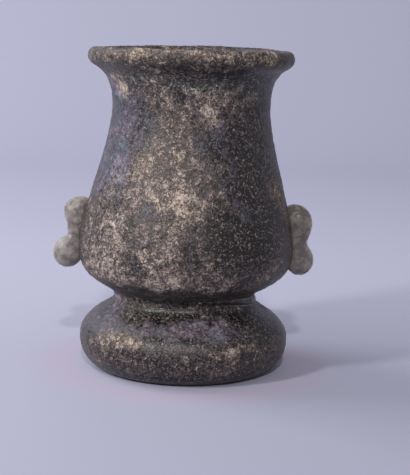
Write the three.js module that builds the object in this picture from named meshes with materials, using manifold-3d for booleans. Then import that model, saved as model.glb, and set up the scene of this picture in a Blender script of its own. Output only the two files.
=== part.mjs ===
// A small blown-glass vase: a pear-shaped body with a flared lip, a blown foot,
// a trail of glass wound round the join between them, and a trailed handle on each side.
//
// Units are millimetres and +Z is up. The origin is the centre of the ring that the foot rests on,
// and the handles lie along the X axis. The front of the vase faces -Y.
import * as THREE from "three";
import { mergeVertices } from "three/addons/utils/BufferGeometryUtils.js";
import Module from "manifold-3d";

const wasm = await Module();
wasm.setup();

// Body, outside. A level is a height above the resting ring.
const CREST_LEVEL = 100;
const LIP_RADIUS = 32;
const LIP_LEVEL = 97.6;
const NECK_RADIUS = 24.5;
const NECK_LEVEL = 82;
const BELLY_RADIUS = 33.7;
const BELLY_LEVEL = 37.5;
const WAIST_RADIUS = 22;
const WAIST_LEVEL = 22.1;

// How far each upright stretch of the outline runs on before it turns.
const LIP_PULL = 4.6;
const FLARE_PULL = 14.2;
const NECK_PULL = 11;
const SHOULDER_PULL = 11.5;
const BELLY_PULL = 11.2;
const WAIST_PULL = 5.5;

// Body, inside.
const LIP_THICKNESS = 3.9;
const NECK_WALL = 2.4;
const BELLY_WALL = 2.3;
const FLOOR_LEVEL = 24.7;
const FLOOR_PULL = 24;
const BOWL_PULL = 8.5;

// Foot.
const FOOT_RADIUS = 33;
const FOOT_LEVEL = 9.5;
const FOOT_SHOULDER_PULL = 8;
const COLLAR_PULL = 3.9;
const REST_OUTER_RADIUS = 25.5;
const REST_WIDTH = 2.4;
const FOOT_WALL = 2.8;
const FOOT_EDGE_THICKNESS = 2.5;
const FOOT_VAULT_PULL = 21.5;
const FOOT_VAULT_DROP = 4;
const FOOT_EDGE_PULL = 5;
const WEB_THICKNESS = 3;

// Depth of the body's rounded base, which sits in the top of the foot.
const BASE_DEPTH = 2.1;

// Trail wound round the waist, from its tail at the front, past the right side and round the back.
// A bearing is measured from +X towards +Y.
const TRAIL_HEIGHT = 3.1;
const TRAIL_THICKNESS = 2.5;
const TRAIL_PROUD = 0.3;
const TRAIL_LEVEL = 22.1;
const TRAIL_TAIL_LEVEL = 24.7;
const TRAIL_TAIL_BEARING = THREE.MathUtils.degToRad(-78);
const TRAIL_WRAP = THREE.MathUtils.degToRad(250);
const TRAIL_TAPER = THREE.MathUtils.degToRad(34);
const TRAIL_DESCENT = THREE.MathUtils.degToRad(75);

// Glass left under the foot by the pontil rod.
const WAD_RADIUS = 6.2;
const WAD_HEIGHT = 1.5;
const WAD_CRATER_RADIUS = 3.6;
const WAD_CRATER_DEPTH = 0.8;

// Handles. Each is one trail pressed on in lobes. A lobe's stand-off is how far its centre lies
// outside the wall, and reach, rise and half are its radii away from the wall, upwards and across.
const HANDLE_LEFT_LOBES = [
  { level: 48.3, standOff: 1.4, reach: 5.4, rise: 4.6, half: 3.9 },
  { level: 43.4, standOff: 0.5, reach: 4.0, rise: 5.5, half: 3.3 },
  { level: 35.3, standOff: 3.8, reach: 4.8, rise: 4.9, half: 4.2 },
];
const HANDLE_RIGHT_LOBES = [
  { level: 46.1, standOff: 1.2, reach: 5.7, rise: 6.3, half: 4.3 },
  { level: 39.6, standOff: 0.1, reach: 4.4, rise: 5.2, half: 3.5 },
  { level: 34.7, standOff: 2.7, reach: 4.5, rise: 4.8, half: 4.1 },
];
const LOBE_BLEND = 2.4;

// What hand work leaves: how far the axis strays along X at each station, and how far the lip waves.
const WAIST_STRAY = -0.3;
const BELLY_STRAY = 0.2;
const NECK_STRAY = 0.7;
const LIP_STRAY = 0.15;
const LIP_WAVE = 0.28;
const LIP_WAVE_BEARING = THREE.MathUtils.degToRad(75);

// The pieces are fused on the real vase. Here a thin gap keeps them apart.
const GAP = 0.3;

// Facets round a revolved piece, and steps along each curve of an outline. The trail's first and last
// sections lie a share of one step inside its tips.
const SEGMENTS = 48;
const WAD_SEGMENTS = 24;
const CURVE_STEPS = 8;
const ROUND_STEPS = 4;
const TRAIL_STEPS = 48;
const TRAIL_SIDES = 12;
const TIP_SHARE = 0.1;
const HANDLE_SIDES = 22;
const HANDLE_LEVELS = 24;

const GLASS = { color: 0x5b5049, roughness: 0.62, metalness: 0 };
const FOOT_GLASS = { color: 0x4d4650, roughness: 0.45, metalness: 0 };
const HANDLE_GLASS = { color: 0x9a978c, roughness: 0.5, metalness: 0 };

const point = (radius, level) => new THREE.Vector2(radius, level);

// An S-shaped stretch between two points of an outline where the wall stands upright.
function uprightCurve(from, to, fromPull, toPull) {
  const way = Math.sign(to.y - from.y);
  return new THREE.CubicBezierCurve(
    from,
    point(from.x, from.y + way * fromPull),
    point(to.x, to.y - way * toPull),
    to,
  ).getPoints(CURVE_STEPS);
}

// A bowl-shaped stretch from a point on the axis, where it lies level, to one where it stands upright.
function bowlCurve(from, to, levelPull, uprightPull) {
  const way = Math.sign(to.y - from.y);
  return new THREE.CubicBezierCurve(
    from,
    point(from.x + levelPull, from.y),
    point(to.x, to.y - way * uprightPull),
    to,
  ).getPoints(CURVE_STEPS);
}

// Part of an ellipse, from one angle to another, with 0 outwards and a quarter turn upwards.
function ellipseArc(centre, radial, vertical, fromAngle, toAngle, steps) {
  const points = [];
  for (let i = 0; i <= steps; i += 1) {
    const angle = THREE.MathUtils.lerp(fromAngle, toAngle, i / steps);
    points.push(point(centre.x + radial * Math.cos(angle), centre.y + vertical * Math.sin(angle)));
  }
  return points;
}

// Joins stretches into one outline and leaves out points that repeat.
function outlineOf(...stretches) {
  const points = [];
  for (const next of stretches.flat()) {
    const last = points.at(-1);
    if (!last || last.distanceTo(next) > 1e-3) points.push(next);
  }
  return points;
}

// Radius of an outline at a level, between its points.
function radiusAt(points, level) {
  for (let i = 1; i < points.length; i += 1) {
    const [low, high] = [points[i - 1], points[i]];
    if (low.y <= level && level <= high.y) {
      return THREE.MathUtils.mapLinear(level, low.y, high.y, low.x, high.x);
    }
  }
  return level < points[0].y ? points[0].x : points.at(-1).x;
}

// Direction in which an outline climbs past a level.
function leanAt(points, level) {
  const reach = TRAIL_HEIGHT / 6;
  return point(radiusAt(points, level + reach) - radiusAt(points, level - reach), 2 * reach).normalize();
}

// Moves an outline outwards, square to itself.
function offsetOutline(points, distance) {
  return points.map((p, i) => {
    const before = points[Math.max(i - 1, 0)];
    const after = points[Math.min(i + 1, points.length - 1)];
    const along = after.clone().sub(before).normalize();
    return point(p.x + along.y * distance, p.y - along.x * distance);
  });
}

// Stations of the outside, from the foot to the lip.
const footBulge = point(FOOT_RADIUS, FOOT_LEVEL);
const footTop = point(WAIST_RADIUS, WAIST_LEVEL - GAP / 2);
const bodyBottom = point(WAIST_RADIUS, WAIST_LEVEL + GAP / 2);
const belly = point(BELLY_RADIUS, BELLY_LEVEL);
const neck = point(NECK_RADIUS, NECK_LEVEL);
const lip = point(LIP_RADIUS, LIP_LEVEL);

// Outside of the foot above its bulge, and of the body up to the widest point of the lip.
const footShoulder = uprightCurve(footBulge, footTop, FOOT_SHOULDER_PULL, COLLAR_PULL);
const bodyWall = outlineOf(
  uprightCurve(bodyBottom, belly, WAIST_PULL, BELLY_PULL),
  uprightCurve(belly, neck, SHOULDER_PULL, NECK_PULL),
  uprightCurve(neck, lip, FLARE_PULL, LIP_PULL),
);

// The body's rounded base from the axis out to an edge point, which the foot's seat repeats lower down.
function roundedBase(edge) {
  const points = [];
  for (let i = 0; i <= ROUND_STEPS; i += 1) {
    const radius = (edge.x * i) / ROUND_STEPS;
    points.push(point(radius, edge.y - BASE_DEPTH * (1 - (radius / edge.x) ** 2)));
  }
  return points;
}

// Turns an outline round the vertical axis.
function revolve(outline, segments = SEGMENTS) {
  return new THREE.LatheGeometry(outline, segments).rotateX(Math.PI / 2);
}

// Merges shared corners and drops the triangles that have collapsed on the axis.
function closed(geometry) {
  const bare = geometry.clone();
  bare.deleteAttribute("normal");
  bare.deleteAttribute("uv");
  const merged = mergeVertices(bare, 1e-4);
  const corners = merged.index.array;
  const kept = [];
  for (let i = 0; i < corners.length; i += 3) {
    const [a, b, c] = corners.slice(i, i + 3);
    if (a !== b && b !== c && c !== a) kept.push(a, b, c);
  }
  merged.setIndex(kept);
  return merged;
}

function toSolid(geometry) {
  const mesh = closed(geometry);
  return new wasm.Manifold(
    new wasm.Mesh({
      numProp: 3,
      vertProperties: mesh.attributes.position.array,
      triVerts: new Uint32Array(mesh.index.array),
    }),
  );
}

function toGeometry(solid) {
  const mesh = solid.getMesh();
  return new THREE.BufferGeometry()
    .setAttribute("position", new THREE.BufferAttribute(new Float32Array(mesh.vertProperties), 3))
    .setIndex(new THREE.BufferAttribute(new Uint32Array(mesh.triVerts), 1));
}

// Skins a row of closed rings, all with as many corners, and closes both ends.
function loft(rings) {
  const sides = rings[0].length;
  const corners = rings.flat();
  const middle = (ring) =>
    ring.reduce((sum, p) => sum.add(p), new THREE.Vector3()).divideScalar(sides);
  const startCorner = corners.push(middle(rings[0])) - 1;
  const endCorner = corners.push(middle(rings.at(-1))) - 1;
  const index = [];
  for (let side = 0; side < sides; side += 1) {
    const next = (side + 1) % sides;
    for (let ring = 0; ring < rings.length - 1; ring += 1) {
      const [here, there] = [ring * sides, (ring + 1) * sides];
      index.push(here + side, here + next, there + next);
      index.push(here + side, there + next, there + side);
    }
    const last = (rings.length - 1) * sides;
    index.push(startCorner, next, side);
    index.push(endCorner, last + side, last + next);
  }
  return new THREE.BufferGeometry().setFromPoints(corners).setIndex(index);
}

// The trail at the waist, swollen by a clearance when it cuts its own groove. Its section is an ellipse
// that leans with the wall, and both of its ends are tapered to a round tip.
function waistTrail(clearance = 0) {
  const { clamp, lerp, smoothstep } = THREE.MathUtils;
  const outside = outlineOf(footShoulder, bodyWall);
  const tipReach = clearance / WAIST_RADIUS;
  const rings = [];
  for (let i = 0; i <= TRAIL_STEPS; i += 1) {
    const share = (i + TIP_SHARE) / (TRAIL_STEPS + 2 * TIP_SHARE);
    const along = lerp(-tipReach, TRAIL_WRAP + tipReach, share);
    const fromTip = Math.min(along, TRAIL_WRAP - along) + tipReach;
    const fullness = Math.sqrt(1 - (1 - clamp(fromTip / TRAIL_TAPER, 0, 1)) ** 2);
    const level = lerp(TRAIL_TAIL_LEVEL, TRAIL_LEVEL, smoothstep(along, 0, TRAIL_DESCENT));
    const lean = leanAt(outside, level);
    const out = point(lean.y, -lean.x);
    const halfThickness = (TRAIL_THICKNESS / 2) * fullness + clearance;
    const halfHeight = (TRAIL_HEIGHT / 2) * fullness + clearance;
    const centre = point(radiusAt(outside, level), level).addScaledVector(
      out,
      (TRAIL_PROUD - TRAIL_THICKNESS / 2) * fullness,
    );
    const bearing = TRAIL_TAIL_BEARING + along;
    rings.push(
      ellipseArc(point(0, 0), halfThickness, halfHeight, 2 * Math.PI, 0, TRAIL_SIDES)
        .slice(0, -1)
        .map((p) => centre.clone().addScaledVector(out, p.x).addScaledVector(lean, p.y))
        .map((p) => new THREE.Vector3(p.x * Math.cos(bearing), p.x * Math.sin(bearing), p.y)),
    );
  }
  return loft(rings);
}

// A revolved piece with the trail's groove cut into it.
function grooved(outline) {
  return toGeometry(toSolid(revolve(outline)).subtract(toSolid(waistTrail(GAP))));
}

// The blown body: rounded base, wall, rounded lip and the hollow inside.
function bodyGeometry() {
  const crest = point(LIP_RADIUS - LIP_THICKNESS / 2, LIP_LEVEL);
  const crestRise = CREST_LEVEL - LIP_LEVEL;
  const innerLip = point(LIP_RADIUS - LIP_THICKNESS, LIP_LEVEL);
  const innerNeck = point(NECK_RADIUS - NECK_WALL, NECK_LEVEL);
  const innerBelly = point(BELLY_RADIUS - BELLY_WALL, BELLY_LEVEL);
  const floor = point(0, FLOOR_LEVEL);
  return grooved(
    outlineOf(
      roundedBase(bodyBottom),
      bodyWall,
      ellipseArc(crest, LIP_THICKNESS / 2, crestRise, 0, Math.PI, 2 * ROUND_STEPS),
      uprightCurve(innerLip, innerNeck, LIP_PULL, FLARE_PULL),
      uprightCurve(innerNeck, innerBelly, NECK_PULL, SHOULDER_PULL),
      bowlCurve(floor, innerBelly, FLOOR_PULL, BOWL_PULL).reverse(),
    ),
  );
}

// Level of the foot's vault at the axis, under the web that carries the body.
const VAULT_LEVEL = footTop.y - BASE_DEPTH - WEB_THICKNESS;

// The blown foot: a hollow bell with its edge turned in under it, closed above by the body's seat.
function footGeometry() {
  const restOuter = point(REST_OUTER_RADIUS, 0);
  const restInner = point(REST_OUTER_RADIUS - REST_WIDTH, 0);
  const edge = point(restInner.x, FOOT_EDGE_THICKNESS / 2);
  const edgeTop = point(edge.x, FOOT_EDGE_THICKNESS);
  const innerBulge = point(FOOT_RADIUS - FOOT_WALL, FOOT_LEVEL);
  const vault = point(0, VAULT_LEVEL);
  const bulgeRise = FOOT_RADIUS - restOuter.x;
  return grooved(
    outlineOf(
      bowlCurve(vault, innerBulge, FOOT_VAULT_PULL, FOOT_VAULT_DROP),
      bowlCurve(edgeTop, innerBulge, FOOT_EDGE_PULL, FOOT_EDGE_PULL).reverse(),
      ellipseArc(edge, edge.y, edge.y, Math.PI / 2, 1.5 * Math.PI, ROUND_STEPS),
      ellipseArc(
        point(restOuter.x, FOOT_LEVEL),
        bulgeRise,
        FOOT_LEVEL,
        -Math.PI / 2,
        0,
        CURVE_STEPS,
      ),
      footShoulder,
      roundedBase(footTop).reverse(),
    ),
  );
}

// The larger of two values, rounded over where they are close.
function blendMax(a, b) {
  const near = Math.max(LOBE_BLEND - Math.abs(a - b), 0) / LOBE_BLEND;
  return Math.max(a, b) + (near * near * LOBE_BLEND) / 4;
}

// A handle is a stack of level ellipses through its lobes, trimmed to the wall it was pressed on.
function handleGeometry(lobes, side) {
  const placed = lobes.map((lobe) => ({
    ...lobe,
    centre: radiusAt(bodyWall, lobe.level) + lobe.standOff,
  }));
  const top = Math.max(...placed.map((lobe) => lobe.level + lobe.rise));
  const bottom = Math.min(...placed.map((lobe) => lobe.level - lobe.rise));
  const rings = [];
  for (let i = 1; i < HANDLE_LEVELS; i += 1) {
    const level = (top + bottom) / 2 - ((top - bottom) / 2) * Math.cos((Math.PI * i) / HANDLE_LEVELS);
    const cuts = placed
      .map((lobe) => ({ ...lobe, width: Math.sqrt(1 - ((level - lobe.level) / lobe.rise) ** 2) }))
      .filter((lobe) => lobe.width > 0);
    const outer = cuts.map((cut) => cut.centre + cut.reach * cut.width).reduce(blendMax);
    const inner = -cuts.map((cut) => cut.reach * cut.width - cut.centre).reduce(blendMax);
    const half = cuts.map((cut) => cut.half * cut.width).reduce(blendMax);
    const ring = ellipseArc(
      point((outer + inner) / 2, 0),
      (outer - inner) / 2,
      half,
      0,
      2 * Math.PI,
      HANDLE_SIDES,
    ).slice(0, -1);
    rings.push(ring.map((p) => new THREE.Vector3(side * p.x, side * p.y, level)));
  }
  const clearWall = offsetOutline(bodyWall, GAP);
  const wallCutter = revolve(
    outlineOf(point(0, clearWall[0].y), clearWall, point(0, clearWall.at(-1).y)),
  );
  return toGeometry(toSolid(loft(rings)).subtract(toSolid(wallCutter)));
}

// The low, cratered disc of glass where the pontil rod broke away.
function pontilWadGeometry() {
  const top = VAULT_LEVEL - GAP;
  const rim = point(WAD_RADIUS - WAD_HEIGHT / 2, top - WAD_HEIGHT / 2);
  return revolve(
    outlineOf(
      bowlCurve(
        point(0, top - WAD_HEIGHT + WAD_CRATER_DEPTH),
        point(WAD_CRATER_RADIUS, top - WAD_HEIGHT),
        WAD_CRATER_RADIUS / 2,
        WAD_CRATER_DEPTH / 2,
      ),
      ellipseArc(rim, WAD_HEIGHT / 2, WAD_HEIGHT / 2, -Math.PI / 2, Math.PI / 2, ROUND_STEPS),
      point(0, top),
    ),
    WAD_SEGMENTS,
  );
}

// How far the axis strays along X at a level.
function strayAt(level) {
  const stations = [
    { level: FOOT_LEVEL, stray: 0 },
    { level: WAIST_LEVEL, stray: WAIST_STRAY },
    { level: BELLY_LEVEL, stray: BELLY_STRAY },
    { level: NECK_LEVEL, stray: NECK_STRAY },
    { level: LIP_LEVEL, stray: LIP_STRAY },
  ];
  return stations.slice(1).reduce((sum, station, i) => {
    const before = stations[i];
    const share = THREE.MathUtils.smoothstep(level, before.level, station.level);
    return sum + share * (station.stray - before.stray);
  }, 0);
}

// Gives a piece what hand work leaves. All pieces move together, so the gaps between them stay.
function handWork(geometry) {
  const place = geometry.attributes.position;
  for (let i = 0; i < place.count; i += 1) {
    const [x, y, z] = [place.getX(i), place.getY(i), place.getZ(i)];
    const bearing = Math.atan2(y, x) - LIP_WAVE_BEARING;
    const lipShare = THREE.MathUtils.smoothstep(z, NECK_LEVEL, LIP_LEVEL);
    place.setXYZ(i, x + strayAt(z), y, z + LIP_WAVE * Math.cos(2 * bearing) * lipShare);
  }
  return geometry;
}

function piece(name, geometry, finish) {
  const shape = handWork(closed(geometry));
  shape.computeVertexNormals();
  const mesh = new THREE.Mesh(shape, new THREE.MeshStandardMaterial(finish));
  mesh.name = name;
  return mesh;
}

const vase = new THREE.Group();
vase.name = "vase";
vase.add(
  piece("body", bodyGeometry(), GLASS),
  piece("foot", footGeometry(), FOOT_GLASS),
  piece("waist_trail", waistTrail(), GLASS),
  piece("handle_left", handleGeometry(HANDLE_LEFT_LOBES, -1), HANDLE_GLASS),
  piece("handle_right", handleGeometry(HANDLE_RIGHT_LOBES, 1), HANDLE_GLASS),
  piece("pontil_wad", pontilWadGeometry(), FOOT_GLASS),
);

export default vase;
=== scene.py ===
"""A small blown-glass vase under a weathered crust: body, blown foot, waist trail and two lobed handles."""

import logging
import math
from collections.abc import Callable
from dataclasses import dataclass, field
from enum import Enum

import bmesh
import bpy
from mathutils import Matrix, Vector, noise


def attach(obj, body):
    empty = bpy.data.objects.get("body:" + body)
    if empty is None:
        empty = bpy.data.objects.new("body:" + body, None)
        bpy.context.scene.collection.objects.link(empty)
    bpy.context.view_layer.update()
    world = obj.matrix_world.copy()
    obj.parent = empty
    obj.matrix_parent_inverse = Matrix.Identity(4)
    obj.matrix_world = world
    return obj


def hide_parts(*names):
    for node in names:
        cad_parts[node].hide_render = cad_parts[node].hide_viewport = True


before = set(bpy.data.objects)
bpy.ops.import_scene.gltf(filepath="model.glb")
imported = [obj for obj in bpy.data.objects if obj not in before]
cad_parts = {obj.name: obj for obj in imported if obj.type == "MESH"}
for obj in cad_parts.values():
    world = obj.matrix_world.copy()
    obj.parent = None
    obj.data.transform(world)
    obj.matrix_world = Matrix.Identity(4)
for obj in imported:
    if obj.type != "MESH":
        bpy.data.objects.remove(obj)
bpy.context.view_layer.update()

MM = 0.001
BODY_NAME = "root"
FIELD = "weathering"
DOME_STEPS = 8
LOOKUP_STEPS = 24
MERGE_DISTANCE = 1e-4
COLLAPSE_DISTANCE = 1e-5
NOISE_SEED = 1
NOISE_MIDDLE = 0.5
GLASS_IOR = 1.5

Colour = tuple[float, float, float]
Span = tuple[float, float]

log = logging.getLogger("vase")


class Slot(Enum):
    """Names of the material slots of the record."""

    BODY = "body_glass"
    FOOT = "foot_glass"
    TRAIL = "trail_glass"
    HANDLE = "handle_glass"


class Side(Enum):
    """The side of the vase that a handle stands on, as the sign of X."""

    LEFT = -1
    RIGHT = 1


def held(value: float) -> float:
    """The value, held between 0 and 1."""
    return min(max(value, 0.0), 1.0)


def smooth(value: float, low: float, high: float) -> float:
    """Eased share of the way from low to high, held at 0 and 1 outside.

    Args:
        value: The number to place.
        low: Where the share is 0.
        high: Where the share is 1.

    Returns:
        A number from 0 to 1.
    """
    share = held((value - low) / (high - low))
    return share * share * (3 - 2 * share)


@dataclass(frozen=True)
class Station:
    """A ring on the outline, by its radius and its level above the resting ring, in millimetres."""

    radius: float
    level: float


def upright(start: Station, end: Station, start_pull: float, end_pull: float, steps: int) -> list[Station]:
    """S-shaped stretch between two stations where the wall stands upright.

    Args:
        start: First station.
        end: Last station.
        start_pull: How far the wall runs on upright from the first station.
        end_pull: The same at the last station.
        steps: Number of steps along the curve.

    Returns:
        The stations along the curve, both ends included.
    """
    way = math.copysign(1, end.level - start.level)
    levels = (start.level, start.level + way * start_pull, end.level - way * end_pull, end.level)
    radii = (start.radius, start.radius, end.radius, end.radius)
    return bezier(radii, levels, steps)


def bowl(start: Station, end: Station, level_pull: float, upright_pull: float, steps: int) -> list[Station]:
    """Bowl-shaped stretch from a level start on the axis to an upright end.

    Args:
        start: The station on the axis, or where the curve lies level.
        end: The station where the wall stands upright.
        level_pull: How far the curve runs on level.
        upright_pull: How far it runs upright into its end.
        steps: Number of steps along the curve.

    Returns:
        The stations along the curve, both ends included.
    """
    way = math.copysign(1, end.level - start.level)
    levels = (start.level, start.level, end.level - way * upright_pull, end.level)
    radii = (start.radius, start.radius + level_pull, end.radius, end.radius)
    return bezier(radii, levels, steps)


def dome(edge: Station, depth: float) -> list[Station]:
    """Rounded stretch from the axis out to just short of an edge.

    Args:
        edge: The station that the stretch leads to. It isn't part of the stretch.
        depth: How far the middle lies below the edge.

    Returns:
        The stations from the axis outwards.
    """
    stations = []
    for step in range(DOME_STEPS):
        share = step / DOME_STEPS
        stations.append(Station(edge.radius * step / DOME_STEPS, edge.level - depth * (1 - share ** 2)))
    return stations


def bezier(radii: tuple[float, ...], levels: tuple[float, ...], steps: int) -> list[Station]:
    """Stations along a cubic curve.

    Args:
        radii: Radii of the four control points.
        levels: Levels of the four control points.
        steps: Number of steps along the curve.

    Returns:
        The stations along the curve, both ends included.
    """
    stations = []
    for step in range(steps + 1):
        t = step / steps
        weights = ((1 - t) ** 3, 3 * (1 - t) ** 2 * t, 3 * (1 - t) * t * t, t ** 3)
        radius = sum(w * r for w, r in zip(weights, radii))
        level = sum(w * z for w, z in zip(weights, levels))
        stations.append(Station(radius, level))
    return stations


def radius_on(stations: list[Station], level: float) -> float:
    """Radius of a rising row of stations at a level.

    Args:
        stations: The row, from low to high.
        level: The level to look up.

    Returns:
        The radius there, or the first radius where the row has no such level.
    """
    for low, high in zip(stations, stations[1:]):
        if low.level <= level <= high.level:
            share = (level - low.level) / max(high.level - low.level, 1e-6)
            return low.radius + share * (high.radius - low.radius)
    return stations[0].radius


def arc(centre: Station, across: float, rise: float, start: float, end: float, steps: int) -> list[Station]:
    """Part of an ellipse, with angle 0 outwards and a quarter turn upwards.

    Args:
        centre: Centre of the ellipse.
        across: Its radius outwards.
        rise: Its radius upwards.
        start: First angle in degrees.
        end: Last angle in degrees.
        steps: Number of steps along it.

    Returns:
        The stations along the arc.
    """
    stations = []
    for step in range(steps + 1):
        angle = math.radians(start + (end - start) * step / steps)
        stations.append(
            Station(centre.radius + across * math.cos(angle), centre.level + rise * math.sin(angle))
        )
    return stations


@dataclass(frozen=True)
class HandWork:
    """What the maker's hand left: the axis strays along X and the lip waves. Millimetres and degrees."""

    stations: tuple[tuple[float, float], ...] = (
        (9.5, 0.0), (22.1, -0.3), (37.5, 0.2), (82.0, 0.7), (97.6, 0.35),
    )
    lip_wave: float = 0.28
    lip_wave_bearing: float = 75.0
    neck_level: float = 82.0
    lip_level: float = 97.6

    def stray(self, level: float) -> float:
        """Offset of the axis along X.

        Args:
            level: The level to look up.

        Returns:
            The offset there, in millimetres.
        """
        total = 0.0
        for (low, before), (high, after) in zip(self.stations, self.stations[1:]):
            total += smooth(level, low, high) * (after - before)
        return total

    def apply(self, place: Vector) -> Vector:
        """Moves a point with the strayed axis and the waving lip.

        Args:
            place: The point as spun, in millimetres.

        Returns:
            The point where the maker's hand left it.
        """
        bearing = math.atan2(place.y, place.x) - math.radians(self.lip_wave_bearing)
        wave = self.lip_wave * math.cos(2 * bearing) * smooth(place.z, self.neck_level, self.lip_level)
        return Vector((place.x + self.stray(place.z), place.y, place.z + wave))


HAND = HandWork()


@dataclass(frozen=True)
class PatchLook:
    """How patches fade at their edges, and how noise shifts and mottles them.

    Scales are features per millimetre, turns are degrees and rises are millimetres. A fractal is
    given by its falloff, its step in scale and its number of layers.
    """

    fade: float = 0.7
    drift_scale: float = 0.11
    drift_turn: float = 11
    drift_rise: float = 2.6
    ragged_scale: float = 0.45
    ragged_turn: float = 4
    ragged_rise: float = 1.1
    broad_scale: float = 0.10
    broad_offset: tuple[float, float, float] = (7, 3, 1)
    broad_fractal: tuple[float, float, int] = (1.0, 2.0, 3)
    mid_scale: float = 0.38
    mid_fractal: tuple[float, float, int] = (0.9, 2.1, 3)
    mid_share: float = 0.7
    shares: tuple[float, float, float, float] = (0.20, -0.16, -0.10, 0.12)
    calm_span: Span = (0.35, 0.75)
    film_calm: float = 0.65


@dataclass(frozen=True)
class ReliefLook:
    """How the relief of a wall is made. Scales are features per millimetre, heights are millimetres."""

    flake_scale: float = 0.75
    flake_fractal: tuple[float, float, int] = (0.8, 2.2, 3)
    flake_share: float = 0.35
    flake_tint: float = 0.12
    raised_span: Span = (0.40, 0.62)
    ground: float = 0.4
    undulate_scale: float = 0.07
    undulate_offset: tuple[float, float, float] = (3, 9, 5)
    ripple_across: float = 0.12
    ripple_up: float = 0.55
    ripple_height: float = 0.07
    rest_span: Span = (0.3, 3.0)


PATCH_LOOK = PatchLook()
RELIEF_LOOK = ReliefLook()


@dataclass(frozen=True)
class Patch:
    """A patch of weathering on the wall, softly edged. Bearing 0 is the front and 90 the right side."""

    bearing: float
    level: float
    half_turn: float
    half_height: float
    amount: float

    def weight(self, bearing: float, level: float) -> float:
        """Strength of the patch at a place, falling to 0 away from its centre.

        Args:
            bearing: Bearing of the place, in degrees.
            level: Its level, in millimetres.

        Returns:
            The patch's amount times its weight there.
        """
        turn = (bearing - self.bearing + 180) % 360 - 180
        away = (turn / self.half_turn) ** 2 + ((level - self.level) / self.half_height) ** 2
        return self.amount * math.exp(-away * away * PATCH_LOOK.fade)


@dataclass(frozen=True)
class Weathering:
    """Where a piece carries crust, bluish film, dark bare glass and warm tint, in places as painted light
    and shade.
    """

    crust: tuple[Patch, ...] = ()
    film: tuple[Patch, ...] = ()
    bare: tuple[Patch, ...] = ()
    warm: tuple[Patch, ...] = ()
    crust_base: float = 0.5
    film_base: float = 0.4
    bare_base: float = 0.2
    warm_base: float = 0.5
    crust_relief: float = 0.13
    wobble: float = 0.22

    def fields(self, place: Vector) -> tuple[float, float, float, float]:
        """Amounts of crust, film, bare glass and warm tint at a point in millimetres, in places painted
        light and shade.

        Args:
            place: The point on the surface.

        Returns:
            Four numbers, each held between 0 and 1.
        """
        look = PATCH_LOOK
        drift = noise.noise_vector(place * look.drift_scale)
        ragged = noise.noise_vector(place * look.ragged_scale)
        bearing = math.degrees(math.atan2(place.x, -place.y))
        bearing = bearing + look.drift_turn * drift.x + look.ragged_turn * ragged.x
        level = place.z + look.drift_rise * drift.z + look.ragged_rise * ragged.z
        broad = noise.fractal(
            place * look.broad_scale + Vector(look.broad_offset), *look.broad_fractal
        )
        mid = noise.fractal(place * look.mid_scale, *look.mid_fractal)
        totals = [
            base + sum(patch.weight(bearing, level) for patch in patches)
            for base, patches in (
                (self.crust_base, self.crust),
                (self.film_base, self.film),
                (self.bare_base, self.bare),
                (self.warm_base, self.warm),
            )
        ]
        calm = 1 - look.film_calm * smooth(totals[1], *look.calm_span)
        shares = (look.shares[0] * calm, *look.shares[1:])
        return tuple(
            held(total + share * broad + abs(share) * look.mid_share * mid)
            for total, share in zip(totals, shares)
        )


def weather(
    mesh: bmesh.types.BMesh, weathering: Weathering, painted_highlight: Callable[[Vector], float] | None = None
) -> None:
    """Gives a mesh its hand work, its crust as relief and the weathering attribute.

    Args:
        mesh: The closed mesh, in millimetres. It comes out in metres.
        weathering: Where the crust and films lie.
        painted_highlight: Pale crust added at a point, which paints a highlight along an edge.
    """
    look = RELIEF_LOOK
    mesh.normal_update()
    layer = mesh.verts.layers.float_color.new(FIELD)
    moves = []
    for vert in mesh.verts:
        place = vert.co.copy()
        crust, film, bare, warm = weathering.fields(place)
        # Painted highlight: pale crust added along an edge.
        if painted_highlight:
            crust += painted_highlight(place)
        flake = noise.fractal(place * look.flake_scale, *look.flake_fractal)
        raised = smooth(crust + look.flake_share * flake, *look.raised_span)
        undulate = noise.noise(place * look.undulate_scale + Vector(look.undulate_offset))
        across = look.ripple_across
        ripple = noise.noise(Vector((place.x * across, place.y * across, place.z * look.ripple_up)))
        height = weathering.crust_relief * (raised - look.ground) + weathering.wobble * undulate
        height = height + look.ripple_height * ripple
        vert[layer] = (held(crust + look.flake_tint * flake), film, bare, warm)
        moves.append(vert.normal * height * smooth(place.z, *look.rest_span))
    for vert, move in zip(mesh.verts, moves):
        vert.co = HAND.apply(vert.co + move) * MM


def spin_outline(outline: list[Station], segments: int) -> bmesh.types.BMesh:
    """Spins an outline once round the vertical axis into a closed mesh, in millimetres.

    Args:
        outline: Stations from a start on the axis to an end on the axis.
        segments: Steps round the axis.

    Returns:
        The mesh with merged poles and outward faces.
    """
    mesh = bmesh.new()
    verts = [mesh.verts.new((station.radius, 0, station.level)) for station in outline]
    edges = [mesh.edges.new(pair) for pair in zip(verts, verts[1:])]
    bmesh.ops.spin(
        mesh, geom=verts + edges, cent=(0, 0, 0), axis=(0, 0, 1), dvec=(0, 0, 0),
        angle=2 * math.pi, steps=segments, use_merge=True, use_duplicate=False,
    )
    bmesh.ops.remove_doubles(mesh, verts=mesh.verts[:], dist=MERGE_DISTANCE)
    bmesh.ops.dissolve_degenerate(mesh, edges=mesh.edges[:], dist=COLLAPSE_DISTANCE)
    bmesh.ops.recalc_face_normals(mesh, faces=mesh.faces[:])
    return mesh


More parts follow.
